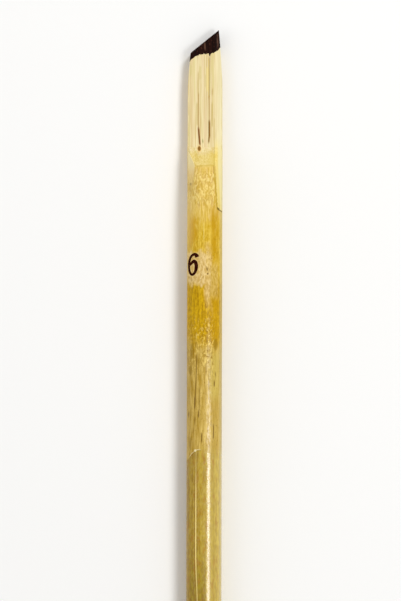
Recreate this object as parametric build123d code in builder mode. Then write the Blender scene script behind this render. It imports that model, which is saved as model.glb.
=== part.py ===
"""Calligraphy reed pen: one stick of cane, carved to a broad oblique writing edge.

The pen lies along Y on the plane Z = 0, with its writing tip towards +Y and the carved scarf
facing up. X runs across the pen, and the left is -X. Sizes are in millimetres and angles in
degrees. A length along the pen is measured back from the foremost point of the writing tip.
"""

import os
from math import cos, radians, sin, tan

from build123d import *

# Cane: a round stick with a glossy rind, a woody wall and a soft core a little off its axis
pen_length = 200.0
barrel_diameter = 6.0
rind_thickness = 0.18
lining_thickness = 0.12
pith_diameter = 1.82
pith_offset = 0.27
butt_chamfer = 0.25

# Scraped front: the maker takes the gloss off the rind all round, up to behind the number
scrape_length = 71.2
scrape_run_out = 1.2
scrape_depth = 0.02

# Scarf: a long level face, a ramp up from its heel, and a shallow slice before the ramp
scarf_length = 22.85
heel_depth = 3.23
face_slope = 0.8
ramp_angle = 39.0
ramp_blend = 2.5
slice_length = 8.15
slice_depth = 0.58

# Back shave: the flat on the underside that thins the nib to its edge
back_length = 19.0
nib_thickness = 0.98

# Writing edge: an oblique cut across the nib, whose sides narrow in long arcs towards it
nib_width = 6.0
edge_angle = 39.0
nib_shift = 0.09
edge_corner_radius = 0.6
right_taper_length = 14.5
left_taper_length = 9.2
taper_run_out = 0.02

# Shoulder cuts: a flat down each upper flank, from the barrel to the heel of the scarf
right_shoulder_tilt = 63.0
right_shoulder_start = 30.3
right_shoulder_step = 0.136
right_shoulder_depth = 0.45
right_shoulder_length = 10.3
right_shoulder_skew = 18.0
left_shoulder_tilt = 60.0
left_shoulder_start = 29.5
left_shoulder_depth = 0.35
left_shoulder_length = 7.5

# Bevels: narrow facets along both edges of the scarf's face
right_bevel_tilt = 12.0
right_bevel_width = 1.2
right_bevel_skew = 1.7
left_bevel_tilt = 15.0
left_bevel_width = 0.5

# Slit: a hairline split that feeds ink to the edge, beside the lining of the core
slit_length = 11.0
slit_width = 0.06
slit_clearance = 0.02

# Ink: a dried film round the tip, whose lower limit runs nearly level across the nib
ink_film = 0.05
ink_length_right = 3.1
ink_length_left = 5.1
ink_length_middle = 3.95

# How far a cutting profile reaches past the cane that it trims
overrun = 3.0

barrel_radius = barrel_diameter / 2
pith_radius = pith_diameter / 2
lining_radius = pith_radius + lining_thickness
tip_y = pen_length / 2
butt_y = -pen_length / 2
front_radius = barrel_radius - scrape_depth
front_top = barrel_radius + front_radius


def station(length):
    """The Y of a place that lies a length back from the tip."""
    return tip_y - length


# The heel is where the scarf's face would meet its ramp without the blend between them.
heel_station = scarf_length - (heel_depth - slice_depth) / tan(radians(ramp_angle))
heel_y = station(heel_station)
heel_z = front_top - heel_depth
face_fall = tan(radians(face_slope))
tip_face_z = heel_z - heel_station * face_fall
tip_back_z = tip_face_z - nib_thickness
back_rise = tip_back_z / back_length
slice_fall = slice_depth / slice_length

# The two ends of the writing edge, seen from above.
half_edge = nib_width * cos(radians(edge_angle)) / 2
right_corner = (half_edge - nib_shift, tip_y)
left_corner = (-half_edge - nib_shift, station(nib_width * sin(radians(edge_angle))))

# The face cuts the round lining along two lines, and the slit runs beside the right one.
lining_depth = barrel_radius - heel_z
lining_edge_x = (lining_radius**2 - lining_depth**2) ** 0.5 - pith_offset
slit_x = lining_edge_x + slit_clearance + slit_width / 2


def across(y):
    """A plane square to the pen at y, centred on the cane, that faces the tip."""
    return Plane(origin=(0, y, barrel_radius), x_dir=(1, 0, 0), z_dir=(0, 1, 0))


def along(x, z, y, tilt, skew=0.0):
    """A plane along the pen through a point. Its local x runs to the tip, and its local y
    leans from straight up by tilt, to the right where tilt is positive. A skew turns it
    about that local y, so that local x veers to the right towards the tip."""
    lean = radians(tilt)
    plane = Plane(origin=(x, y, z), x_dir=(0, 1, 0), z_dir=(cos(lean), 0, -sin(lean)))
    return plane.rotated((0, -skew, 0))


def half_section(grow):
    """Half of the uncarved stick, cut along its axis: glossy barrel and scraped front."""
    scrape_y = station(scrape_length)
    level_y = scrape_y + scrape_run_out
    with BuildSketch(Plane.XY.offset(barrel_radius)) as view:
        with BuildLine():
            Polyline(
                (0, butt_y),
                (barrel_radius - butt_chamfer, butt_y),
                (barrel_radius, butt_y + butt_chamfer),
                (barrel_radius, scrape_y),
                (front_radius + grow, level_y),
                (front_radius + grow, tip_y + overrun),
                (0, tip_y + overrun),
                close=True,
            )
        make_face()
    return view.sketch


def side_view(grow):
    """The pen seen from its right side: back shave, face, ramp and slice."""
    ahead = tip_y + overrun
    behind = butt_y - overrun
    with BuildSketch(Plane.YZ) as view:
        with BuildLine():
            Polyline(
                (behind, -overrun),
                (station(back_length) - overrun / back_rise, -overrun),
                (ahead, tip_back_z + overrun * back_rise),
                (ahead, tip_face_z - overrun * face_fall),
                (heel_y, heel_z),
                (station(scarf_length), front_top - slice_depth),
                (station(scarf_length + slice_length) - overrun / slice_fall, front_top + overrun),
                (behind, front_top + overrun),
                close=True,
            )
        make_face()
        fillet(view.vertices().sort_by_distance((0, heel_y, heel_z))[0], ramp_blend)
        if grow:
            offset(amount=grow, kind=Kind.INTERSECTION)
    return view.sketch


def plan_view(grow):
    """The pen seen from above: the oblique edge, and the side that narrows to each corner."""
    flank = front_radius + taper_run_out
    outside = barrel_radius + overrun
    behind = butt_y - overrun
    right_start = (flank, right_corner[1] - right_taper_length)
    left_start = (-flank, left_corner[1] - left_taper_length)
    with BuildSketch(Plane.XY) as view:
        with BuildLine():
            TangentArc(right_start, right_corner, tangent=(0, 1))
            Line(right_corner, left_corner)
            TangentArc(left_start, left_corner, tangent=(0, 1))
            Polyline(
                left_start,
                (-outside, left_start[1]),
                (-outside, behind),
                (outside, behind),
                (outside, right_start[1]),
                right_start,
            )
        make_face()
        fillet(view.vertices().sort_by_distance((*left_corner, 0))[0], edge_corner_radius)
        if grow:
            offset(amount=grow, kind=Kind.INTERSECTION)
    return view.sketch


def shoulder_cut(tilt, skew, start, step, depth, length):
    """What a knife takes off one upper flank: it enters with a step, and goes deeper until
    it runs level past the heel of the scarf."""
    level_y = tip_y + overrun - station(start)
    with BuildSketch(along(0, barrel_radius, station(start), tilt, skew)) as view:
        with BuildLine():
            Polyline(
                (0, front_radius - step),
                (length, front_radius - depth),
                (level_y, front_radius - depth),
                (level_y, barrel_radius + overrun),
                (0, barrel_radius + overrun),
                close=True,
            )
        make_face()
    return view.sketch


def bevel_cut(side, tilt, width, skew, grow):
    """What a knife takes off one edge of the face, following the face and the ramp."""
    reach = tip_y + overrun - heel_y
    top = heel_depth + overrun
    x = side * (front_radius - width)
    with BuildSketch(along(x, heel_z, heel_y, side * tilt, skew)) as view:
        with BuildLine():
            Polyline(
                (0, 0),
                (reach, -reach * face_fall),
                (reach, top),
                (-top / tan(radians(ramp_angle)), top),
                close=True,
            )
        make_face()
        heel = view.vertices().sort_by_distance((x, heel_y, heel_z))[0]
        fillet(heel, ramp_blend)
        if grow:
            offset(amount=-grow, kind=Kind.INTERSECTION)
    return view.sketch


def carved_form(grow=0.0):
    """The outer form of the whole carved stick, with every cut face moved out by grow."""
    reach = barrel_diameter + overrun
    knife_cuts = [
        shoulder_cut(
            right_shoulder_tilt,
            right_shoulder_skew,
            right_shoulder_start,
            right_shoulder_step,
            right_shoulder_depth,
            right_shoulder_length,
        ),
        shoulder_cut(
            -left_shoulder_tilt,
            0,
            left_shoulder_start,
            0,
            left_shoulder_depth,
            left_shoulder_length,
        ),
        bevel_cut(1, right_bevel_tilt, right_bevel_width, right_bevel_skew, grow),
        bevel_cut(-1, left_bevel_tilt, left_bevel_width, 0, grow),
    ]
    with BuildPart() as form:
        revolve(half_section(grow), axis=Axis((0, 0, barrel_radius), (0, 1, 0)))
        extrude(side_view(grow), amount=reach, both=True, mode=Mode.INTERSECT)
        extrude(plan_view(grow), amount=reach, both=True, mode=Mode.INTERSECT)
        for cut in knife_cuts:
            extrude(cut, amount=reach, both=True, mode=Mode.SUBTRACT)
    return form.part


def finish(part, label):
    """Names a finished piece and writes its file."""
    part.label = label
    export_step(part, f"parts/{label}.step")


os.makedirs("parts", exist_ok=True)
stick = carved_form()
cane_length = pen_length + 2 * overrun
behind_butt = butt_y - overrun

# Slit: it is as deep as the nib and open at the writing edge
with BuildPart() as slit:
    with BuildSketch(Plane.XY):
        with Locations((slit_x, station(slit_length))):
            Rectangle(slit_width, slit_length + overrun, align=(Align.CENTER, Align.MIN))
    extrude(amount=barrel_diameter)

# Glossy rind: the natural surface of the barrel
with BuildPart() as glossy_rind:
    with BuildSketch(across(behind_butt)):
        Circle(barrel_radius + overrun)
        Circle(barrel_radius - rind_thickness, mode=Mode.SUBTRACT)
    extrude(amount=station(scrape_length) - behind_butt)
    add(stick, mode=Mode.INTERSECT)
finish(glossy_rind.part, "glossy_rind")

# Scraped rind: the same layer with its gloss taken off, which is left where no knife went
with BuildPart() as scraped_rind:
    with BuildSketch(across(station(scrape_length))):
        Circle(barrel_radius + overrun)
        Circle(barrel_radius - rind_thickness, mode=Mode.SUBTRACT)
    extrude(amount=scrape_length + overrun)
    add(stick, mode=Mode.INTERSECT)
finish(scraped_rind.part, "scraped_rind")

# Wall: the woody body of the cane, which carries every cut and the slit
with BuildPart() as cane_wall:
    with BuildSketch(across(behind_butt)):
        Circle(barrel_radius - rind_thickness)
        with Locations((-pith_offset, 0)):
            Circle(lining_radius, mode=Mode.SUBTRACT)
    extrude(amount=cane_length)
    add(stick, mode=Mode.INTERSECT)
    add(slit.part, mode=Mode.SUBTRACT)
finish(cane_wall.part, "cane_wall")

# Lining: the thin brown layer between the wall and the core
with BuildPart() as inner_lining:
    with BuildSketch(across(behind_butt)):
        with Locations((-pith_offset, 0)):
            Circle(lining_radius)
            Circle(pith_radius, mode=Mode.SUBTRACT)
    extrude(amount=cane_length)
    add(stick, mode=Mode.INTERSECT)
finish(inner_lining.part, "inner_lining")

# Core: the pale pith
with BuildPart() as pith_core:
    with BuildSketch(across(behind_butt)):
        with Locations((-pith_offset, 0)):
            Circle(pith_radius)
    extrude(amount=cane_length)
    add(stick, mode=Mode.INTERSECT)
finish(pith_core.part, "pith_core")

# Ink: the film over the tip, which also fills the slit there
ink_side_x = barrel_radius + overrun
left_limit = (-barrel_radius, station(ink_length_left))
right_limit = (barrel_radius, station(ink_length_right))
with BuildPart() as dried_ink:
    with BuildSketch(Plane.XY):
        with BuildLine():
            ThreePointArc(left_limit, (0, station(ink_length_middle)), right_limit)
            Polyline(
                right_limit,
                (ink_side_x, right_limit[1]),
                (ink_side_x, tip_y + overrun),
                (-ink_side_x, tip_y + overrun),
                (-ink_side_x, left_limit[1]),
                left_limit,
            )
        make_face()
    extrude(amount=barrel_diameter)
    add(carved_form(ink_film), mode=Mode.INTERSECT)
    for layer in (scraped_rind, cane_wall, inner_lining, pith_core):
        add(layer.part, mode=Mode.SUBTRACT)
finish(dried_ink.part, "dried_ink")
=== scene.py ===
"""Calligraphy reed pen: a cane stick with a carved nib, a written number and dried ink on its tip.

The pen lies along Y on the floor, with its tip towards +Y. Each section makes one part, in the
order in which the real pen comes about. Sizes are in millimetres until they go into a mesh, and
a station is a length back from the tip.
"""

from math import atan, cos, pi, radians, sin, tan

import bmesh
import bpy
import numpy as np
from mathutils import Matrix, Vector


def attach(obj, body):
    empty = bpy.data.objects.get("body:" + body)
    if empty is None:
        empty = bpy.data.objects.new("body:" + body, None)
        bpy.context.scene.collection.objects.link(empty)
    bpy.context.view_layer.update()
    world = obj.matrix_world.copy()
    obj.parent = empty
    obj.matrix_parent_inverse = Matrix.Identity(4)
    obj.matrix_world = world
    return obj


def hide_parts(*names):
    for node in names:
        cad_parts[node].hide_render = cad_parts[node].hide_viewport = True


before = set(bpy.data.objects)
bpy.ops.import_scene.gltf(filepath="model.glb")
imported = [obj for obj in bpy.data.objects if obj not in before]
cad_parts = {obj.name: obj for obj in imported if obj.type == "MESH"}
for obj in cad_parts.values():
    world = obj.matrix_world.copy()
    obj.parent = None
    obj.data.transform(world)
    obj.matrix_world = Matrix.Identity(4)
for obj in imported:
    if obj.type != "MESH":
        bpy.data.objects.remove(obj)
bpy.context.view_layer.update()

# Camera: it looks straight down on the front half of the pen through a long lens. The
# photograph is 401 by 601 pixels, and 5.93 of them make a millimetre.
photo_rows, pixels_per_mm = 601, 5.93
view_middle = (-0.69, 54.48, 3.0)
view_distance = 2000.0
view_roll = 0.15

optics = bpy.data.cameras.new("long_lens")
optics.lens = optics.sensor_width * view_distance * pixels_per_mm / photo_rows
optics.clip_end = 100
camera = bpy.data.objects.new("camera", optics)
camera.location = (Vector(view_middle) + Vector((0, 0, view_distance))) / 1000
camera.rotation_euler = (0, 0, radians(view_roll))
bpy.context.scene.collection.objects.link(camera)
bpy.context.scene.camera = camera
bpy.context.scene.view_settings.view_transform = "Standard"

# Light: an even white room, a soft box high on the right, a stronger one past the tip and a wide
# pale one on the left. The near box draws the highlight along the glossy barrel.
room_level, near_level, far_level, fill_level = 0.5, 0.19, 0.26, 0.09
room_tint = (1.0, 0.99, 1.02, 1.0)


def add_soft_box(name, level, towards, distance, over, width, length):
    """A rectangle of light that runs along the pen and faces the place `over` on its axis. It
    gives a level surface there the share `level` of full light, so its power is level times pi
    squared times distance squared, over the cosine of its angle from the vertical."""
    way = Vector(towards).normalized()
    light = bpy.data.lights.new(name, "AREA")
    light.shape, light.size, light.size_y = "RECTANGLE", width, length
    light.energy = level * pi**2 * distance**2 / way.z
    lamp = bpy.data.objects.new(name, light)
    lamp.location = way * distance + Vector((0, over, 0))
    lamp.rotation_euler = way.to_track_quat("Z", "X").to_euler()
    bpy.context.scene.collection.objects.link(lamp)


add_soft_box("near_box", near_level, (0.53, 0.0, 1.0), 0.7, 0.025, 0.22, 0.13)
add_soft_box("far_box", far_level, (0.55, 0.85, 1.0), 0.9, 0.055, 0.2, 0.2)
add_soft_box("fill_box", fill_level, (-0.95, 0.1, 0.7), 1.5, 0.055, 1.3, 1.3)


class Field:
    """A number, colour or vector that varies over a surface. It wraps a node's output, and
    arithmetic on it adds Math nodes."""

    def __init__(self, tree, socket):
        self.tree, self.socket = tree, socket

    def node(self, kind, settings, values, output=0):
        """Adds a node: its settings first, then its sockets' values or links."""
        new = self.tree.nodes.new(kind)
        for key, value in settings.items():
            setattr(new, key, value)
        for key, value in values.items():
            if isinstance(value, Field):
                self.tree.links.new(value.socket, new.inputs[key])
            else:
                new.inputs[key].default_value = value
        return Field(self.tree, new.outputs[output])

    def math(self, operation, *values):
        return self.node("ShaderNodeMath", {"operation": operation}, dict(enumerate(values)))

    def __add__(self, other):
        return self.math("ADD", self, other)

    def __radd__(self, other):
        return self.math("ADD", other, self)

    def __sub__(self, other):
        return self.math("SUBTRACT", self, other)

    def __rsub__(self, other):
        return self.math("SUBTRACT", other, self)

    def __mul__(self, other):
        return self.math("MULTIPLY", self, other)

    def __rmul__(self, other):
        return self.math("MULTIPLY", other, self)

    def __truediv__(self, other):
        return self.math("DIVIDE", self, other)

    def __pow__(self, other):
        return self.math("POWER", self, other)

    def __abs__(self):
        return self.math("ABSOLUTE", self)

    def rise(self, start, end):
        """0 up to start, 1 from end on, and a smooth step between them."""
        return self.node(
            "ShaderNodeMapRange",
            {"interpolation_type": "SMOOTHSTEP"},
            {"Value": self, "From Min": start, "From Max": end},
        )

    def map_to(self, start, end, high):
        """0 at start, high at end, and in proportion between them."""
        values = {"Value": self, "From Min": start, "From Max": end, "To Max": high}
        return self.node("ShaderNodeMapRange", {"interpolation_type": "LINEAR"}, values)

    def span(self, start, end, soft):
        """1 between start and end, with soft limits."""
        return self.rise(start - soft, start + soft) * (1 - self.rise(end - soft, end + soft))

    def blend(self, low, high):
        """The colour low where this is 0, and high where it is 1."""
        return self.node("ShaderNodeMix", {"data_type": "RGBA"}, {0: self, 6: low, 7: high}, 2)

    def stretch(self, *scales):
        """A place with its three sizes scaled."""
        return self.node("ShaderNodeVectorMath", {"operation": "MULTIPLY"}, {0: self, 1: scales})

    def noise(self, across, along, detail=3.0, distortion=0.0):
        """Cloudy noise from 0 to 1, with so many clouds a millimetre across and along the cane."""
        place = self.stretch(across, along, across)
        values = {"Vector": place, "Scale": 1, "Detail": detail, "Distortion": distortion}
        return self.node("ShaderNodeTexNoise", {}, values)

    def bump(self, millimetres):
        """A normal for a surface that this field, from 0 to 1, raises by so much."""
        return self.node("ShaderNodeBump", {}, {"Height": self, "Distance": millimetres / 1000})


def paint(*levels):
    """A colour from its red, green and blue levels of 0 to 255, as a screen shows them."""
    share = np.array(levels) / 255
    return (*np.where(share > 0.04045, ((share + 0.055) / 1.055) ** 2.4, share / 12.92), 1.0)


def new_material(name, **constants):
    """A material with these shader constants. Returns it, its shader node, and the place in mm."""
    material = bpy.data.materials.new(name)
    material.use_nodes = True
    tree = material.node_tree
    shader = tree.nodes["Principled BSDF"]
    for socket, value in constants.items():
        shader.inputs[socket.replace("_", " ")].default_value = value
    where = tree.nodes.new("ShaderNodeTexCoord")
    place = Field(tree, where.outputs["Object"]).stretch(1000, 1000, 1000)
    return material, shader, place


def feed(shader, **fields):
    """Links fields to the shader's sockets."""
    for socket, field in fields.items():
        field.tree.links.new(field.socket, shader.inputs[socket.replace("_", " ")])


def place_parts(place):
    """The x, station and z of a place, as three fields."""
    parts = place.node("ShaderNodeSeparateXYZ", {}, {0: place})
    x, y, z = (Field(place.tree, socket) for socket in parts.socket.node.outputs)
    return x, 100 - y, z


# Floor: a plain pale sheet under the pen, wide enough to fill every view.
floor_reach = 6.0

corners = np.array([(-1, -1, 0), (1, -1, 0), (1, 1, 0), (-1, 1, 0)]) * floor_reach
floor_mesh = bpy.data.meshes.new("floor")
floor_mesh.from_pydata(corners.tolist(), [], [(0, 1, 2, 3)])
floor = bpy.data.objects.new("floor", floor_mesh)
bpy.context.scene.collection.objects.link(floor)
floor_paper, shader, place = new_material("floor_paper", Roughness=0.9, Specular_IOR_Level=0.1)
feed(shader, Base_Color=place.noise(0.01, 0.01).blend(paint(252, 252, 249), paint(250, 250, 246)))
floor_mesh.materials.append(floor_paper)

world = bpy.data.worlds.new("room")
bpy.context.scene.world = world
world.use_nodes = True
backdrop = world.node_tree.nodes["Background"]
rays = world.node_tree.nodes.new("ShaderNodeLightPath")
kinds = ("Is Camera Ray", "Is Glossy Ray", "Is Transmission Ray")
camera_ray, glossy_ray, clear_ray = (Field(world.node_tree, rays.outputs[kind]) for kind in kinds)
seen = camera_ray.math("MAXIMUM", camera_ray.math("MAXIMUM", camera_ray, glossy_ray), clear_ray)
tint = seen.blend(room_tint, (1.0, 1.0, 1.0, 1.0))
world.node_tree.links.new(tint.socket, backdrop.inputs["Color"])
strength = seen * (1 - room_level) + room_level
world.node_tree.links.new(strength.socket, backdrop.inputs["Strength"])


# Cane under the rind: the woody wall, the thin brown lining and the pale pith, as the knife
# left them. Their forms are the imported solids, merged and shaded smooth between sharp edges.
# The fibres run along the stick, so the pattern depends on x and z and hardly on the station.
knife_edge_angle = 24.0
axis_height = 3.0


def stroke(x, station, start, end, half_width, soft):
    """1 on a straight stroke between two points (x, station), with soft sides and ends."""
    slope = (end[0] - start[0]) / (end[1] - start[1])
    off = abs(x - start[0] - (station - start[1]) * slope)
    return (1 - off.rise(half_width, half_width + soft)) * station.span(start[1], end[1], 0.35)


def spot(x, station, middle, half_width, half_length):
    """1 in an oval spot, with a soft rim."""
    across = (x - middle[0]) / half_width
    along = (station - middle[1]) / half_length
    return 1 - (across * across + along * along).rise(0.5, 1.5)


def wrinkles(place, station):
    """Short curling ridges of dried finish, from the top of the ramp to the end of the slice:
    1 on a ridge, 0 in a hollow and a half between them."""
    curl = place.noise(2.9, 1.25, 3, 0.9).rise(0.36, 0.64)
    return (curl - 0.5) * station.span(23.4, 29.6, 1.4) + 0.5


def light_rind(place, station):
    """Thinly scraped rind above the scarf: pale gold with wrinkles, painted darker in their hollows as painted shade
    and paler on their ridges as painted highlight.
    """
    grain = place.noise(5.0, 0.7, 4).rise(0.36, 0.64)
    colour = grain.blend(paint(216, 180, 72), paint(242, 210, 118))
    colour = (place.noise(1.6, 0.5, 3).rise(0.5, 0.66) * 0.4).blend(colour, paint(240, 208, 142))
    curls = wrinkles(place, station)
    # Painted shade: the hollows of the wrinkles are darker.
    colour = (curls.rise(0.45, 0.1) * 0.5).blend(colour, paint(196, 156, 58))
    # Painted highlight: the ridges of the wrinkles are paler.
    return (curls.rise(0.6, 0.95) * 0.6).blend(colour, paint(252, 230, 146))


def shoulder_line(x, station):
    """How far a place lies to the right of the line where the right shoulder cut begins."""
    behind = (station - 22.85).math("MAXIMUM", station - 22.85, 0.0)
    return x - 1.6 - behind * 0.066


facet_lean = radians(60)
pith_offset, pith_radius, lining_radius = 0.27, 0.91, 1.03


def sawn_end(place, x, z):
    """The sawn butt: end grain with a dot for every vessel, close together towards the rind,
    and the brown lining round the pale pith."""
    off_axis = (x * x + (z - axis_height) * (z - axis_height)) ** 0.5
    off_core = ((x + pith_offset) * (x + pith_offset) + (z - axis_height) * (z - axis_height)) ** 0.5
    ground = place.noise(1.1, 0.02, 2).rise(0.38, 0.62).blend(paint(216, 184, 118), paint(234, 208, 150))
    vessels = place.noise(4.6, 0.02, 1).rise(0.56, 0.63)
    colour = (vessels * (0.35 + 0.55 * off_axis.rise(1.1, 2.7))).blend(ground, paint(136, 94, 44))
    colour = off_axis.rise(2.62, 2.8).blend(colour, paint(184, 144, 72))
    soft = place.noise(4.6, 0.02, 2).rise(0.4, 0.6).blend(paint(226, 204, 150), paint(244, 230, 190))
    colour = off_core.rise(lining_radius + 0.03, lining_radius - 0.01).blend(colour, paint(120, 76, 28))
    return off_core.rise(pith_radius + 0.02, pith_radius - 0.02).blend(colour, soft)


def cut_colour(place, x, station, z, pinkness):
    """Freshly cut cane: cream with fine straight fibres, warmer on the ramp and pale yellow on
    the shoulders; the slice behind the ramp looks like the rind round it. Returns the colour
    and the fibres."""
    broad = place.noise(1.1, 0.012, 2)
    fine = place.noise(4.2, 0.05, 3)
    hair = place.noise(11.0, 0.16, 2)
    fibres = broad * 0.3 + fine * 0.45 + hair * 0.25
    shade = fibres.rise(0.39, 0.6)
    cream = shade.blend(paint(216, 190, 126), paint(244, 229, 180))
    cream = (place.noise(0.7, 0.02, 2).rise(0.45, 0.6) * pinkness).blend(cream, paint(236, 212, 168))
    green = place.noise(1.9, 0.09, 2).rise(0.52, 0.62)
    cream = (green * 0.45).blend(cream, paint(228, 216, 148))
    bundles = fine.rise(0.6, 0.68) * place.noise(1.5, 0.11, 2).rise(0.4, 0.6)
    cream = (bundles * 0.6).blend(cream, paint(206, 176, 104))
    cream = (x.rise(1.5, 2.7) * 0.75).blend(cream, paint(240, 230, 184))
    ramp = (station + (place.noise(2.0, 0.5, 2) - 0.5) * 2).rise(19.4, 21.4)
    warm = shade.blend(paint(214, 186, 90), paint(234, 212, 134))
    warm = (x.rise(0.0, 1.4) * 0.6).blend(warm, paint(222, 194, 84))
    colour = (ramp * 0.9).blend(cream, warm)
    right = shoulder_line(x, station)
    yellow = shade.blend(paint(230, 202, 100), paint(244, 222, 138))
    yellow = right.rise(0.35, 0.8).blend(yellow, paint(234, 220, 158))
    colour = (right.rise(-0.02, 0.06) * station.rise(17.5, 21)).blend(colour, yellow)
    behind = station.rise(22.5, 23.3) * (1 - right.rise(-0.05, 0.03))
    colour = behind.blend(colour, light_rind(place, station))
    off_facet = (z - 3) * cos(facet_lean) - x * sin(facet_lean) - 2.98 + station.map_to(29.5, 22.0, 0.35)
    facet = abs(off_facet).rise(0.05, 0.02) * (1 - station.rise(23, 28)) * 0.9
    lip = abs(station - 22.8 - (place.noise(1.5, 0.5, 2) - 0.5) * 0.4).rise(0.2, 0.05)
    colour = (lip * (1 - right.rise(-0.1, 0)) * (x * -1).rise(2.0, 1.7) * 0.5).blend(colour, paint(204, 172, 66))
    # The left shoulder facet is pale for its fresh cut, and is painted paler still as painted light against the
    # shade it gets from leaning away from the lamps.
    colour = facet.blend(colour, station.rise(21.8, 25).blend(paint(255, 236, 174), paint(244, 213, 144)))
    return station.rise(199.8, 199.9).blend(colour, sawn_end(place, x, z)), fibres


def shoulder_crease(x, station, z):
    """The dark thin line beside the right shoulder cut."""
    beside = 1 - abs(shoulder_line(x, station) + 0.03).rise(0.05, 0.16)
    beside = beside * (0.35 + 0.65 * station.rise(21.5, 24.5))
    return beside * station.span(19.4, 30.1, 0.6) * z.rise(3.2, 3.4)


face_lines = (
    ((0.35, 6.2), (0.38, 10.2), 0.1, 0.55, (248, 228, 140)),
    ((0.64, 4.6), (0.68, 11.4), 0.1, 0.7, (204, 172, 88)),
    ((0.68, 11.0), (0.69, 15.4), 0.05, 0.75, (176, 134, 72)),
    ((1.18, 12.2), (1.2, 16.2), 0.09, 0.5, (192, 166, 84)),
    ((-1.2, 7.0), (-1.14, 10.8), 0.05, 0.5, (186, 158, 78)),
    ((1.24, 9.8), (1.22, 10.9), 0.06, 0.55, (190, 158, 92)),
    ((1.58, 14.8), (1.6, 20.5), 0.05, 0.4, (196, 170, 80)),
    ((-0.8, 6.0), (-0.8, 8.2), 0.16, 0.35, (204, 188, 104)),
    ((0.06, 7.4), (0.06, 9.6), 0.07, 0.4, (208, 188, 112)),
    ((-2.4, 5.8), (-2.42, 7.6), 0.07, 0.45, (200, 194, 112)),
    ((-1.35, 12.2), (-1.33, 16.0), 0.1, 0.5, (198, 176, 96)),
    ((-1.13, 10.6), (-1.12, 16.6), 0.05, 0.75, (178, 136, 66)),
    ((-1.12, 16.4), (-0.86, 19.3), 0.11, 0.95, (128, 74, 12)),
    ((0.69, 15.2), (0.75, 18.0), 0.11, 0.95, (132, 92, 10)),
    ((0.75, 17.7), (0.64, 18.9), 0.1, 0.85, (140, 102, 26)),
    ((-0.38, 18.4), (-0.35, 18.9), 0.06, 0.8, (146, 140, 70)),
)


def add_streaks(colour, place, x, station, z):
    """The lines of the scarf face: vessels, and the brown lining seen edge on along both sides
    of the pith, dark towards the heel, with a knot at its left end."""
    faces_up = z.rise(2.3, 2.4)
    bent = x + (place.noise(0.4, 0.35, 2) - 0.5) * 0.12
    for start, end, half_width, strength, tint in face_lines:
        line = stroke(bent, station, start, end, half_width, 0.09)
        colour = (line * faces_up * strength).blend(colour, paint(*tint))
    knot = spot(x, station, (-0.97, 19.9), 0.27, 0.42) * faces_up
    colour = (spot(x, station, (-0.97, 19.9), 0.42, 0.62) * faces_up * 0.5).blend(colour, paint(244, 202, 120))
    colour = (knot * 0.95).blend(colour, paint(134, 88, 10))
    return (shoulder_crease(x, station, z) * 0.8).blend(colour, paint(184, 156, 36))


def cut_cane(name, pinkness):
    """The material of cut cane."""
    material, shader, place = new_material(name, Roughness=0.62, Specular_IOR_Level=0.15)
    x, station, z = place_parts(place)
    colour, fibres = cut_colour(place, x, station, z, pinkness)
    colour = add_streaks(colour, place, x, station, z)
    feed(shader, Base_Color=colour, Normal=fibres.bump(0.035))
    return material


def cut_piece(node, name, material):
    """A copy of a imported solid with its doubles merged, which stands for it."""
    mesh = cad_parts[node].data.copy()
    shape = bmesh.new()
    shape.from_mesh(mesh)
    bmesh.ops.remove_doubles(shape, verts=shape.verts, dist=1e-7)
    shape.to_mesh(mesh)
    shape.free()
    mesh.shade_smooth()
    mesh.set_sharp_from_angle(angle=radians(knife_edge_angle))
    mesh.materials.clear()
    mesh.materials.append(material)
    piece = bpy.data.objects.new(name, mesh)
    bpy.context.scene.collection.objects.link(piece)
    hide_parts(node)
    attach(piece, "root")
    return piece


cut_piece("cane_wall", "cut_wall", cut_cane("cut_wall", 0.3))
cut_piece("inner_lining", "cut_lining", cut_cane("cut_lining", 0.4))
cut_piece("pith_core", "cut_pith", cut_cane("cut_pith", 0.9))


# Rind: the cane's outer skin, left where no knife went. Behind station 71.2 it has its natural
# gloss; in front of that it is scraped, and the scarf, shoulders, bevels and tapers cut it away.
# It is drawn as rays from a line inside the pith to the outside of the carved stick.
core_x, core_z = -0.27, 2.28
barrel_radius, front_radius, wall_radius = 3.0, 2.98, 2.82
scrape_station, scrape_run_out, butt_station = 71.2, 1.2, 199.93
heel_station, heel_z, face_slope = 19.5775, 2.75, 0.8
ramp_angle, ramp_blend = 39.0, 2.5
slice_start, slice_length, slice_depth = 22.85, 8.15, 0.58
back_length, tip_back_z = 19.0, 1.4966
edge_angle, right_corner, left_corner = 39.0, (2.2414, 0.0), (-2.4214, 3.776)
right_taper, left_taper, corner_radius = 14.5, 9.2, 0.6
shoulders = ((63, 30.3, 0.136, 0.45, 10.3, 18), (-60, 29.5, 0.0, 0.35, 7.5, 0))
bevels = ((1, 12, 1.2, 1.7), (-1, 15, 0.5, 0))


def heel_profile(forward):
    """How far the carved top lies above the heel, so far in front of it: the face falls away
    gently, the ramp climbs back, and an arc that touches both joins them."""
    face, ramp = radians(face_slope), radians(ramp_angle)
    touch = ramp_blend * tan((ramp - face) / 2)
    middle = touch * cos(face) + ramp_blend * sin(face)
    height = ramp_blend * cos(face) - touch * sin(face)
    straight = np.where(forward > 0, -forward * tan(face), -forward * tan(ramp))
    arc = height - np.sqrt(np.clip(ramp_blend**2 - (forward - middle) ** 2, 0, None))
    return np.where((forward < touch * cos(face)) & (forward > -touch * cos(ramp)), arc, straight)


def taper_side(station, corner, length):
    """How far the side of the nib lies from the middle: an arc that leaves the flank along the
    cane and ends at a corner of the writing edge."""
    depth = front_radius + 0.02 - abs(corner[0])
    radius = (depth**2 + length**2) / (2 * depth)
    run = np.clip(corner[1] + length - station, 0, radius)
    return front_radius + 0.02 - radius + np.sqrt(radius**2 - run**2)


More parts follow.
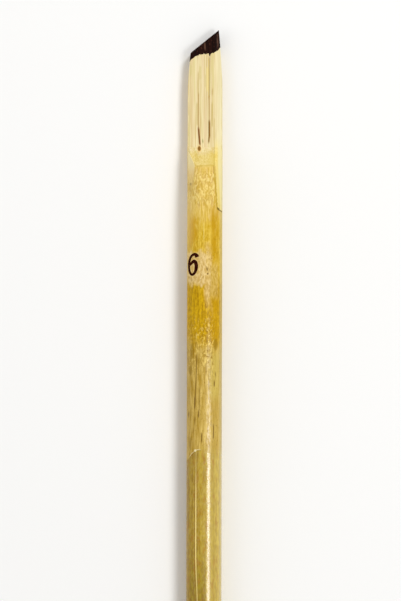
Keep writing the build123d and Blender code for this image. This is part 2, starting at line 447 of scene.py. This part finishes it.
def corner_excess(x, station):
    """Above 0 outside the round that takes the point off the left corner of the edge."""
    edge = np.array((cos(radians(edge_angle)), -sin(radians(edge_angle))))
    side_angle = 2 * atan((front_radius + 0.02 - abs(left_corner[0])) / left_taper)
    side = np.array((-sin(side_angle), cos(side_angle)))
    half = np.arccos(edge @ side) / 2
    middle = np.array(left_corner) + (edge + side) / (2 * cos(half)) * corner_radius / sin(half)
    off_x, off_station = x - middle[0], station - middle[1]
    in_corner = (off_x * edge[0] + off_station * edge[1] < 0) & (off_x * side[0] + off_station * side[1] < 0)
    return np.where(in_corner, np.hypot(off_x, off_station) - corner_radius, -1.0)


def shoulder_excess(x, station, z, tilt, start, step, depth, length, skew):
    """How much stands outside a shoulder cut: a plane that leans by tilt, sinks from its step
    to its depth over its length, and veers to the right by skew."""
    lean, veer = radians(tilt), radians(skew)
    ahead, up = start - station, z - axis_height
    out = x * sin(lean) + up * cos(lean)
    along = ahead * cos(veer) + (x * cos(lean) - up * sin(lean)) * sin(veer)
    sunk = np.clip(along / length, 0, 1) * (depth - step) + step
    return np.where(along > 0, out - front_radius + sunk, -1.0)


def bevel_excess(x, station, z, side, tilt, width, skew):
    """How much stands above a bevel: the heel's own profile, leaning outwards by tilt."""
    lean, veer = radians(side * tilt), radians(skew)
    across, up, ahead = x - side * (front_radius - width), z - heel_z, heel_station - station
    out = across * sin(lean) + up * cos(lean)
    along = ahead * cos(veer) + (across * cos(lean) - up * sin(lean)) * sin(veer)
    return out - heel_profile(along)


def carved_excess(x, station, z, radius, grow):
    """Above 0 outside the carved stick moved out by grow, and below 0 inside it: the largest
    of the heights over each of its surfaces."""
    slice_top = axis_height + front_radius - slice_depth
    slice_top = slice_top + (station - slice_start) * slice_depth / slice_length
    moved = [
        np.hypot(x, z - axis_height) - radius,
        z - np.minimum(heel_z + heel_profile(heel_station - station), slice_top),
        (back_length - station) * tip_back_z / back_length - z,
        -x - taper_side(station, left_corner, left_taper),
        x - taper_side(station, right_corner, right_taper),
        corner_excess(x, station),
    ]
    moved += [bevel_excess(x, station, z, *bevel) for bevel in bevels]
    fixed = [shoulder_excess(x, station, z, *shoulder) for shoulder in shoulders]
    return np.maximum(np.max(moved, axis=0) - grow, np.max(fixed, axis=0))


def edge_station(x):
    """The station of the writing edge at x: a straight oblique line."""
    return (right_corner[0] - x) * tan(radians(edge_angle))


def cane_radius(x, station, z):
    """The radius of the stick before carving: the scraped front is thinner, the butt's rim is
    bevelled, and long shallow waves, as grown cane has, go inwards only."""
    around = np.arctan2(x, z - axis_height)
    waves = 0.012 + 0.006 * (1 + np.sin(2 * around + 0.3) * np.cos(station / 23))
    waves = waves + 0.004 * (1 + np.sin(3 * around + 1.3) * np.cos(station / 7.5))
    waves = waves + 0.003 * (1 + np.sin(7 * around + 0.4) * np.cos(station / 4.1 + 1))
    out = np.clip((station - scrape_station + scrape_run_out) / scrape_run_out, 0, 1)
    radius = front_radius + (barrel_radius - front_radius) * out - waves
    return np.minimum(radius, wall_radius + np.clip(butt_station - station, 0, None))


def ray_reach(angle, station, excess):
    """The length of each ray from the core line to where excess crosses 0, by halving."""
    low, high = np.zeros_like(angle), np.full_like(angle, 4.2)
    for _ in range(22):
        middle = (low + high) / 2
        x, z = core_x + middle * np.sin(angle), core_z + middle * np.cos(angle)
        outside = excess(x, station, z) > 0
        low, high = np.where(outside, low, middle), np.where(outside, middle, high)
    return low


def ray_points(angle, station, reach):
    """The points at the ends of rays from the core line."""
    return np.stack((core_x + reach * np.sin(angle), 100 - station, core_z + reach * np.cos(angle)), -1)


def object_from(name, points, faces):
    """An object at the origin from points in mm and triangles, without its unused points."""
    used, faces = np.unique(faces, return_inverse=True)
    mesh = bpy.data.meshes.new(name)
    mesh.from_pydata((points[used] / 1000).tolist(), [], faces.reshape(-1, 3).tolist())
    mesh.shade_smooth()
    mesh.set_sharp_from_angle(angle=radians(40))
    piece = bpy.data.objects.new(name, mesh)
    bpy.context.scene.collection.objects.link(piece)
    return piece


def round_triangles(rows):
    """Two triangles for each cell of a grid of point numbers whose columns go round."""
    here, there = rows[:-1], rows[1:]
    nextside, nextfar = np.roll(here, -1, 1), np.roll(there, -1, 1)
    cells = [np.stack((here, there, nextside), -1), np.stack((nextside, there, nextfar), -1)]
    return np.concatenate([cell.reshape(-1, 3) for cell in cells])


def shell(name, outer, inner, thick):
    """A closed shell from two grids of points, rows along the cane and columns round it. Where
    it isn't thick both share the outer points, and triangles with only such points go."""
    numbers = np.arange(thick.size).reshape(thick.shape)
    beneath = np.where(thick, numbers + thick.size, numbers)
    front = round_triangles(numbers)[:, ::-1]
    front = front[thick.ravel()[front].any(1)]
    faces = [front, beneath.ravel()[front][:, ::-1]]
    faces += [round_triangles(np.stack((numbers[0], beneath[0])))]
    faces += [round_triangles(np.stack((beneath[-1], numbers[-1])))]
    faces = np.concatenate(faces)
    faces = faces[(faces != np.roll(faces, 1, 1)).all(1)]
    return object_from(name, np.concatenate([outer.reshape(-1, 3), inner.reshape(-1, 3)]), faces)


def rind_shell(name, stations, columns):
    """The rind between these stations. Near the tip its rows lean until they lie along the
    oblique edge, and where the knife went through the rind there is none. Its cut faces stand a
    hair above those of the wall, and its columns are closest at the flanks, where rays graze
    the scarf."""
    lifted = 0.004
    level = np.repeat(np.array(stations)[:, None], columns, 1)
    even = np.linspace(0, 2 * pi, columns, endpoint=False)
    angle = np.repeat((even + 0.32 * np.sin(2 * even))[None], len(stations), 0)
    near = np.clip(1 - level / 15, 0, 1)
    lean = near**2 * (3 - 2 * near)
    station = level

    def natural(x, station, z):
        return carved_excess(x, station, z, cane_radius(x, station, z), lifted)

    for _ in range(4):
        reach = ray_reach(angle, station, natural)
        station = level + edge_station(core_x + reach * np.sin(angle)) * lean
    hidden_radius = wall_radius - 0.02
    bark = ray_reach(angle, station, lambda x, _, z: np.hypot(x, z - axis_height) - hidden_radius)
    thick = reach > bark + 0.002
    thick &= np.roll(thick, 1, 1) & np.roll(thick, -1, 1)
    outer = ray_points(angle, station, np.where(thick, reach, reach - 0.02))
    return shell(name, outer, ray_points(angle, station, bark), thick)


rind_dashes = (
    ((-1.26, 54.7), (-1.57, 63.2), 0.04, 0.7), ((1.66, 59.0), (1.66, 60.0), 0.07, 0.8),
    ((1.56, 66.4), (1.54, 68.8), 0.06, 0.75), ((-0.42, 67.8), (-0.44, 69.4), 0.08, 0.7),
    ((-0.94, 64.0), (-0.97, 65.2), 0.08, 0.75), ((-0.78, 60.2), (-0.86, 63.9), 0.04, 0.5),
    ((-1.6, 61.8), (-1.62, 63.8), 0.06, 0.8), ((-1.6, 65.2), (-1.62, 66.4), 0.05, 0.5),
    ((-2.6, 64.3), (-2.62, 65.2), 0.05, 0.7), ((1.85, 57.6), (1.9, 58.4), 0.05, 0.6),
)
rind_stains = (
    ((1.88, 52.9), 0.34, 1.0, 0.6), ((-2.05, 54.0), 0.26, 1.3, 0.6), ((-2.3, 57.3), 0.26, 0.8, 0.65),
    ((-0.9, 55.6), 0.3, 0.5, 0.5), ((-2.35, 69.6), 0.18, 1.1, 0.55), ((0.38, 52.4), 0.22, 0.3, 0.5),
)


def rind_material(name, coat_roughness, coat_index):
    """Cane rind. In front it is scraped and satin: pale gold by the scarf, then golden, pale where the number
    stands, mustard, and streaky olive tan. Behind it keeps its clear gloss, which starts with a fine bead. Where it
    is cut it looks like the wall. The bead's bright edge, a thin bright line down the glossy barrel and pale dots in
    a patch of crazing are painted highlights, and the pale right rim is a painted reflection."""
    material, shader, place = new_material(
        name, Coat_Roughness=coat_roughness, Coat_IOR=coat_index, Specular_IOR_Level=0.08
    )
    x, station, z = place_parts(place)
    top = z.rise(3.0, 3.2)
    turn = x.math("ARCTAN2", x, z - axis_height) * (180 / pi)
    drift = (place.noise(0.9, 0.35, 3) - 0.5) * 2
    wavy = station + drift * 3
    pebbles = place.noise(3.4, 1.5, 4).rise(0.36, 0.64)
    streaks = place.noise(4.4, 0.3, 4).rise(0.38, 0.62)
    cloud = place.noise(1.4, 0.3, 3).rise(0.38, 0.62)
    long_grain = place.noise(2.2, 0.02, 2).rise(0.36, 0.62)

    golden = (pebbles * 0.5 + streaks * 0.5).blend(paint(204, 162, 22), paint(236, 201, 78))
    mustard = (pebbles * 0.55 + streaks * 0.45).blend(paint(176, 132, 0), paint(224, 180, 16))
    tan_shade = streaks * 0.5 + cloud * 0.28 + turn.rise(-40, 10) * 0.22
    olive_tan = tan_shade.blend(paint(172, 134, 26), paint(228, 197, 106))
    shadow = turn.span(24, 50, 8) * station.rise(52, 56)
    olive_tan = (shadow * 0.5).blend(olive_tan, paint(184, 152, 60))
    colour = wavy.rise(30.0, 34.0).blend(light_rind(place, station), golden)
    colour = wavy.rise(41.0, 44.0).blend(colour, mustard)
    colour = wavy.rise(50.5, 55.0).blend(colour, olive_tan)

    amber = turn.span(21, 52, 7) * (0.5 + 0.5 * cloud)
    amber = amber * (station.span(29.5, 39.0, 1.3) + station.span(45.2, 53.0, 0.7))
    colour = (amber * 0.85).blend(colour, paint(196, 149, 0))
    beige = turn.span(14, 50, 7) * station.span(39.4, 45.0, 0.9)
    colour = (beige * 0.75).blend(colour, pebbles.blend(paint(196, 160, 68), paint(216, 184, 104)))
    left_amber = turn.span(-62, -24, 8) * station.span(31.6, 36.6, 1.0)
    left_amber = left_amber * place.noise(1.8, 0.6, 2).rise(0.34, 0.5)
    colour = (left_amber * 0.8).blend(colour, paint(208, 158, 18))
    halo = turn.span(-86, 10, 7) * (station + drift * 1.8).span(37.3, 42.7, 0.5)
    tail = (turn + drift * 12).span(2, 20, 7) * (station + drift * 2).span(36.5, 46.0, 1.2)
    halo = halo.math("MAXIMUM", halo, tail * 0.8)
    colour = (halo * 0.9).blend(colour, pebbles.blend(paint(212, 176, 100), paint(240, 211, 146)))
    left = (x * -1).rise(1.5, 2.7) * (1 - station.rise(32, 42))
    colour = (left * 0.35).blend(colour, paint(250, 216, 140))
    pale = turn.span(16, 56, 8) * station.span(54.4, 62.0, 1.2)
    colour = (pale * 0.5).blend(colour, paint(216, 194, 96))
    # Painted reflection: the right flank turns paler and greyer towards its rim.
    rim = turn.rise(52, 66) * 0.5
    colour = rim.blend(colour, paint(196, 182, 126))

    # A patch of crazing that is stronger on the right, towards the highlight: its pale dots are painted glints, and
    # its dark curls are the crazing's own lines.
    crazing = place.noise(3.2, 1.9, 2, 0.7)
    crazed_glint_zone = station.span(49.0, 57.5, 2.5) * turn.span(-66, 32, 8) * (0.5 + 0.4 * turn.rise(-8, 4))
    colour = (crazing.rise(0.56, 0.64) * crazed_glint_zone).blend(colour, paint(250, 220, 120))
    colour = (crazing.rise(0.44, 0.35) * crazed_glint_zone).blend(colour, paint(158, 116, 6))
    specks = place.noise(6.0, 2.2, 2).rise(0.62, 0.7) * station.rise(33, 36)
    colour = (specks * 0.55).blend(colour, paint(140, 100, 16))
    thin = place.noise(4.0, 0.22, 2).rise(0.58, 0.66) * place.noise(1.2, 0.2, 2).rise(0.46, 0.56)
    colour = (thin * station.rise(51, 55) * 0.45).blend(colour, paint(140, 102, 22))
    for start, end, half_width, strength in rind_dashes:
        dash = stroke(x, station, start, end, half_width, 0.08)
        colour = (dash * top * strength).blend(colour, paint(112, 78, 10))
    for middle, half_width, half_length, strength in rind_stains:
        stain = spot(x, station, middle, half_width, half_length)
        colour = (stain * top * strength).blend(colour, paint(150, 114, 6))
    glint = stroke(x, station, (-0.16, 32.4), (-0.17, 35.4), 0.03, 0.08) * top
    colour = (glint * 0.6).blend(colour, paint(246, 222, 120))

    bead_line = (-0.9 - x).math("MAXIMUM", -0.9 - x, 0.0)
    past = station - (70.6 + bead_line * bead_line * 0.51 + drift * 0.1)
    left_side = turn.rise(-6, -16)
    gloss = past.rise(-0.08, 0.08) * left_side + (station + drift).rise(69.4, 72.0) * (1 - left_side)
    mottle = place.noise(2.6, 0.9, 3).rise(0.36, 0.64)
    shade = turn.rise(-48, 44) * 0.46 + mottle * 0.3 + long_grain * 0.24
    natural = shade.blend(paint(148, 112, 0), paint(212, 184, 66))
    natural = (turn.span(17, 38, 6) * 0.3).blend(natural, paint(170, 140, 30))
    deep = turn.span(-52, 6, 4) * station.rise(84, 95)
    natural = (deep * 0.65).blend(natural, (mottle * 0.6 + cloud * 0.4).blend(paint(128, 94, 0), paint(158, 138, 4)))
    russet = place.noise(1.7, 0.45, 3).rise(0.56, 0.66)
    natural = (russet * 0.5).blend(natural, paint(172, 118, 14))
    # Painted highlight: a thin bright line runs down the left of the glossy barrel, with a darker band beside it.
    ridge = turn + 27.8 - station.rise(88, 98) * 6.5
    beside = ridge.span(-6.2, -2.6, 0.8) * station.rise(72, 78)
    natural = (beside * 0.6).blend(natural, paint(142, 104, 0))
    painted_highlight_line = abs(ridge).rise(2.6, 0.9) * (0.3 + 0.65 * station.rise(72, 80))
    painted_highlight_line = painted_highlight_line * (1 - station.rise(87, 95) * 0.45)
    natural = painted_highlight_line.blend(natural, paint(255, 230, 136))
    # Painted reflection on the right rim, as on the scraped front.
    natural = rim.blend(natural, paint(200, 182, 112))
    colour = gloss.blend(colour, natural)
    # Painted highlight: the fine bead where the gloss starts, and a drop on it, are painted bright; the bead mask
    # also raises the bump.
    bead = (1 - abs(past).rise(0.03, 0.12)) * turn.span(-58, -14, 6)
    drop = spot(x, station, (-1.52, 70.8), 0.2, 0.2) * top
    bead = bead.math("MAXIMUM", bead * (0.5 + 0.5 * pebbles), drop)
    colour = (bead * 0.9).blend(colour, paint(255, 240, 184))

    radius = (x * x + (z - axis_height) * (z - axis_height)) ** 0.5
    whole = radius.rise(2.90, 2.93)
    cut, fibres = cut_colour(place, x, station, z, 0.0)
    colour = whole.blend(cut, colour)
    marks = stroke(x, station, (0.36, 39.95), (0.48, 40.5), 0.1, 0.06)
    marks = marks.math("MAXIMUM", marks, spot(x, station, (0.52, 41.0), 0.14, 0.17))
    colour = (marks * top * 0.85).blend(colour, paint(116, 82, 20))
    colour = (shoulder_crease(x, station, z) * 0.8).blend(colour, paint(190, 156, 20))
    step = abs(station - 30.05 - (x - 2.15) * 0.7).rise(0.16, 0.04)
    broad = abs(station - 30.0 - (x - 2.15) * 0.7).rise(0.3, 0.1) * x.rise(2.6, 2.3)
    step = step.math("MAXIMUM", step, broad) * x.rise(2.0, 2.15) * z.rise(3.4, 3.6)
    colour = (step * 0.9).blend(colour, paint(104, 80, 4))

    relief = pebbles * 0.35 + streaks * 0.25 + wrinkles(place, station) * 0.6
    relief = relief + crazing.rise(0.35, 0.65) * crazed_glint_zone * 0.5
    relief = relief * (1 - gloss) + mottle * gloss * 0.2 + bead * 0.5
    band = turn.span(3, 27, 8)
    pits = place.noise(3.6, 1.3, 3).rise(0.42, 0.56)
    polish = (0.1 + 0.9 * band) * station.rise(42, 72) * (0.3 + 0.7 * pits)
    dots = place.noise(5.0, 3.0, 2).rise(0.42, 0.54)
    dots = dots.math("MAXIMUM", dots, turn.rise(9, 14))
    dots = (0.3 + 0.7 * dots) * (0.7 + 0.3 * pits) * (0.4 + 0.6 * turn.rise(-14, 3))
    polish = polish * (1 - gloss) + gloss * dots
    feed(
        shader,
        Base_Color=colour,
        Roughness=0.5 - 0.16 * station.rise(50, 56),
        Coat_Weight=polish * whole,
        Normal=relief.bump(0.08),
    )
    return material


def rind_piece(piece, node, coat_roughness, coat_index):
    """Gives a rind its material and its place in the frame."""
    piece.data.materials.append(rind_material(node, coat_roughness, coat_index))
    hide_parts(node)
    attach(piece, "root")


front_rows = (scrape_station, 70.0, 5), (69.7, 33.0, 110), (32.7, 27.5, 70), (27.3, 22.2, 30), (22.1, 16.1, 60), (16.0, 0.0, 60)
front_rows = np.concatenate([np.linspace(*row) for row in front_rows])
barrel_rows = (butt_station, 199.75, 3), (199.4, 97.0, 100), (96.8, scrape_station, 110)
barrel_rows = np.concatenate([np.linspace(*row) for row in barrel_rows])
rind_piece(rind_shell("scraped_skin", front_rows, 160), "scraped_rind", 0.3, 1.7)
rind_piece(rind_shell("glossy_skin", barrel_rows, 160), "glossy_rind", 0.2, 1.7)


# Number: a hand-drawn 6, the width of the writing edge in millimetres, in dark brown ink.
# It is one pen line, thin as a film, that follows the round of the barrel.
number_line = (
    (-1.30, 38.25), (-1.42, 37.93), (-1.66, 37.75), (-2.0, 37.84), (-2.32, 38.18), (-2.52, 38.68),
    (-2.64, 39.28), (-2.64, 39.96), (-2.57, 40.55), (-2.4, 40.98), (-2.14, 41.17), (-1.86, 41.03),
    (-1.58, 40.63), (-1.44, 40.08), (-1.45, 39.52), (-1.58, 39.08), (-1.8, 38.9), (-2.08, 39.08),
    (-2.34, 39.36), (-2.54, 39.64),
)
number_width, number_base, number_top = 0.66, 2.93, 2.97


def smooth_line(points, samples):
    """A Catmull-Rom line through the points: on each stretch a cubic whose slope at a point is
    half the step from the point before it to the point after it."""
    points = np.array(points)
    ends = [2 * points[0] - points[1], *points, 2 * points[-1] - points[-2]]
    p = np.array(ends)
    t = np.linspace(0, len(points) - 1, samples)
    k = np.minimum(t.astype(int), len(points) - 2)
    f = (t - k)[:, None]
    a, b, c, d = p[k], p[k + 1], p[k + 2], p[k + 3]
    return b + 0.5 * f * (c - a + f * (2 * a - 5 * b + 4 * c - d + f * (3 * (b - c) + d - a)))


def pen_line(name, points, width):
    """A thin closed band along a line of (x, station), wrapped down on the barrel. It is rounded
    at both ends, and heaviest at its start and down the right of its bowl."""
    flat = smooth_line(points, 200)
    along = np.gradient(flat, axis=0)
    along = along / np.linalg.norm(along, axis=1)[:, None]
    side = np.stack((-along[:, 1], along[:, 0]), -1)
    share = np.linspace(0, 1, len(flat))
    heavy = 0.9 * np.exp(-((share / 0.1) ** 2)) + 0.6 * np.exp(-(((share - 0.76) / 0.13) ** 2))
    half = width / 2 * (0.95 + heavy)
    half = half * np.sqrt(np.clip(1 - (1 - np.clip(share / 0.02, 0, 1)) ** 2, 0, 1))
    half = half * np.sqrt(np.clip(1 - (1 - np.clip((1 - share) / 0.02, 0, 1)) ** 2, 0, 1))
    across = np.array((-1, -0.5, 0, 0.5, 1, 0.5, 0, -0.5))
    height = np.array((number_base, *[number_top] * 3, number_base, *[number_base] * 3))
    x = flat[:, None, 0] + side[:, None, 0] * half[:, None] * across
    station = flat[:, None, 1] + side[:, None, 1] * half[:, None] * across
    turn = np.arcsin(x / number_top)
    radius = np.broadcast_to(height, turn.shape)
    points = np.stack((radius * np.sin(turn), 100 - station, axis_height + radius * np.cos(turn)), -1)
    numbers = np.arange(turn.size).reshape(turn.shape)
    fan = np.stack((np.zeros(6, int), np.arange(1, 7), np.arange(2, 8)), -1)
    faces = [round_triangles(numbers)[:, ::-1], fan, (numbers[-1, 0] + fan)[:, ::-1]]
    return object_from(name, points.reshape(-1, 3), np.concatenate(faces))


number = pen_line("number_6", number_line, number_width)
number_ink, shader, place = new_material("number_ink", Roughness=0.6, Specular_IOR_Level=0.0)
feed(shader, Base_Color=place.noise(4, 4).rise(0.35, 0.65).blend(paint(36, 6, 4), paint(70, 30, 16)))
number.data.materials.append(number_ink)
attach(number, "root")


# Dried ink: a dark film that closes round the tip. Its lower limit is ragged, with a short run
# down the slit, and the film thins out to nothing there.
ink_film = 0.05
ink_lengths = (5.73, 3.93, 2.55)
slit_x = 0.78


def ink_limit(x):
    """The station where the ink ends: a cubic through the lengths at the left flank, the middle
    and the right flank, nearly level in the middle, with small teeth and a run down the slit."""
    left, middle, right = ink_lengths
    share = x / barrel_radius
    limit = middle + (right - left) / 2 * (0.15 * share + 0.85 * share**3)
    limit = limit + ((right + left) / 2 - middle) * share**2
    teeth = 0.05 * np.sin(9.1 * x + 0.6) + 0.045 * np.sin(17.3 * x + 2.1) + 0.045 * np.sin(31.0 * x)
    return limit + teeth + 0.42 * np.exp(-(((x - slit_x) / 0.13) ** 2))


def ink_surface(angle, share, cap, grow):
    """Points of a surface round the tip. Along the rows share goes from 0 at the limit to 1 at
    the writing edge, where cap then draws the rays in to the core line."""
    station = np.zeros_like(angle)
    for _ in range(5):
        film = grow * np.clip(share / 0.12, 0.1, 1)
        reach = ray_reach(
            angle, station, lambda x, station, z: carved_excess(x, station, z, front_radius, film)
        )
        x = core_x + reach * (1 - cap) * np.sin(angle)
        edge = edge_station(x) - np.maximum(grow, 0) / cos(radians(edge_angle))
        station = ink_limit(x) + (edge - ink_limit(x)) * share
    return ray_points(angle, station, reach * (1 - cap))


share = np.concatenate([np.linspace(0, 0.12, 5), np.linspace(0.16, 1, 30), np.ones(12)])
cap = np.concatenate([np.zeros(35), np.linspace(0.06, 0.995, 12)])
angle = np.linspace(0, 2 * pi, 420, endpoint=False)
share, angle = np.meshgrid(share, angle, indexing="ij")
cap = np.repeat(cap[:, None], angle.shape[1], 1)
outer = ink_surface(angle, share, cap, ink_film)
inner = ink_surface(angle, share, cap, -0.01)
ink = shell("ink_film", outer, inner, np.ones(angle.shape, bool))
ink.data.set_sharp_from_angle(angle=radians(40))

dried_ink, shader, place = new_material("dried_ink", Roughness=0.4, Specular_IOR_Level=0.05)
x, station, z = place_parts(place)
pale = stroke(x, station, (-0.1, 2.0), (-0.02, 3.2), 0.06, 0.16)
pale = pale.math("MAXIMUM", pale, stroke(x, station, (2.05, 0.7), (2.1, 2.7), 0.05, 0.16))
pale = pale * place.noise(6, 1.5, 3).rise(0.3, 0.6)
fibres = place.noise(4.2, 0.2, 3)
colour = fibres.rise(0.35, 0.65).blend(paint(14, 2, 0), paint(34, 11, 5))
flecks = place.noise(5.0, 2.5, 3).rise(0.6, 0.69)
colour = (flecks * 0.6).blend(colour, paint(92, 50, 34))
colour = (pale * 0.8).blend(colour, paint(98, 68, 52))
feed(shader, Base_Color=colour, Normal=(fibres + place.noise(2, 2, 2)).bump(0.03))
ink.data.materials.append(dried_ink)
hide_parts("dried_ink")
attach(ink, "root")
